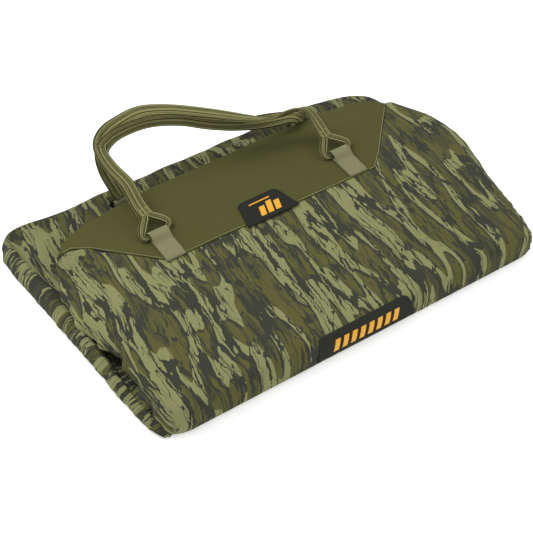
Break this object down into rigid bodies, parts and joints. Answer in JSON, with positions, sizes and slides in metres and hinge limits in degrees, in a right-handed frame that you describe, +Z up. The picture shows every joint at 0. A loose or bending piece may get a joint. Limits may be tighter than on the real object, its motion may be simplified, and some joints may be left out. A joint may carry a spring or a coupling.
{
  "type": "layout field blind",
  "caption": "Folding layout blind folded flat for carrying: hinged tube-frame sections, camouflage cover, side walls, pads, doors and twin webbing carry handles.",
  "frame": {"origin": "on the ground in the middle of the folded bundle, midway between the side rails", "axes": "+X along the fold axes to the right side, +Y towards the carry-handle side (back fold), +Z up"},
  "size_m": [1.17, 0.7481, 0.2662],
  "materials": {
    "camo_cloth": "matt printed woven polyester",
    "olive_cloth": "matt brushed polyester",
    "pad_cloth": "matt woven polyester over foam",
    "ground_sheet_cloth": "coated tarpaulin",
    "webbing": "ribbed polyester webbing",
    "black_patch": "matt moulded patch",
    "coated_tube": "matt powder coat",
    "black_nylon": "moulded nylon",
    "zinc_steel": "zinc plated",
    "spring_rod": "painted steel rod"
  },
  "bodies": {
    "head_section": {"ground_sheet": "ground_sheet_cloth", "head_rail_left": "coated_tube", "head_rail_right": "coated_tube", "head_end_bar": "coated_tube", "head_cross_bar": "coated_tube", "head_tees": "black_nylon", "head_elbows": "black_nylon", "head_knuckles": "black_nylon", "head_rivets": "zinc_steel", "back_hinge_pins": "zinc_steel", "backrest_pad": "pad_cloth", "headrest_pad": "pad_cloth", "side_wall_left": "camo_cloth", "side_wall_right": "camo_cloth", "back_fold_skin": "camo_cloth", "door_brackets": "black_nylon"},
    "seat_section": {"seat_rail_left": "coated_tube", "seat_rail_right": "coated_tube", "seat_front_bar": "coated_tube", "seat_back_bar": "coated_tube", "seat_tees": "black_nylon", "seat_back_knuckles": "black_nylon", "seat_front_knuckles": "black_nylon", "seat_rivets": "zinc_steel", "front_hinge_pins": "zinc_steel", "seat_pad": "pad_cloth", "rear_tabs": "webbing"},
    "leg_section": {"leg_rail_left": "coated_tube", "leg_rail_right": "coated_tube", "leg_toe_bar": "coated_tube", "leg_cross_bar": "coated_tube", "leg_tees": "black_nylon", "leg_elbows": "black_nylon", "leg_knuckles": "black_nylon", "leg_rivets": "zinc_steel", "leg_cover": "camo_cloth", "toe_panel": "olive_cloth", "toe_patch": "black_patch", "front_tabs": "webbing", "front_fold_skin": "camo_cloth", "front_label": "black_patch"},
    "front_carry_handle": {"front_handle": "webbing"},
    "rear_carry_handle": {"rear_handle": "webbing"},
    "door_left": {"door_hoop_left": "spring_rod", "door_cloth_left": "camo_cloth"},
    "door_right": {"door_hoop_right": "spring_rod", "door_cloth_right": "camo_cloth"}
  },
  "joints": [
    {"name": "back_fold", "type": "hinge", "parent": "head_section", "child": "seat_section", "pos_m": [0, 0.3, 0.027], "axis": [-1, 0, 0], "range_deg": [0, 180], "deforming": ["back_fold_skin"]},
    {"name": "front_fold", "type": "hinge", "parent": "seat_section", "child": "leg_section", "pos_m": [0, -0.32, 0.053], "axis": [1, 0, 0], "range_deg": [0, 180], "deforming": ["front_fold_skin", "front_label"]},
    {"name": "front_handle_swing", "type": "hinge", "parent": "leg_section", "child": "front_carry_handle", "pos_m": [0, 0.125, 0.0995], "axis": [1, 0, 0], "range_deg": [0, 140]},
    {"name": "rear_handle_swing", "type": "hinge", "parent": "seat_section", "child": "rear_carry_handle", "pos_m": [0, 0.2915, 0.073], "axis": [1, 0, 0], "range_deg": [-50, 0]},
    {"name": "door_left_lift", "type": "hinge", "parent": "head_section", "child": "door_left", "pos_m": [-0.458, 0, 0.018], "axis": [0, -1, 0], "range_deg": [0, 90]},
    {"name": "door_right_lift", "type": "hinge", "parent": "head_section", "child": "door_right", "pos_m": [0.458, 0, 0.018], "axis": [0, 1, 0], "range_deg": [0, 90]}
  ],
  "couplings": [
    {"joint": "door_left_lift", "follows": "back_fold", "ratio": 0.5},
    {"joint": "door_right_lift", "follows": "back_fold", "ratio": 0.5}
  ]
}
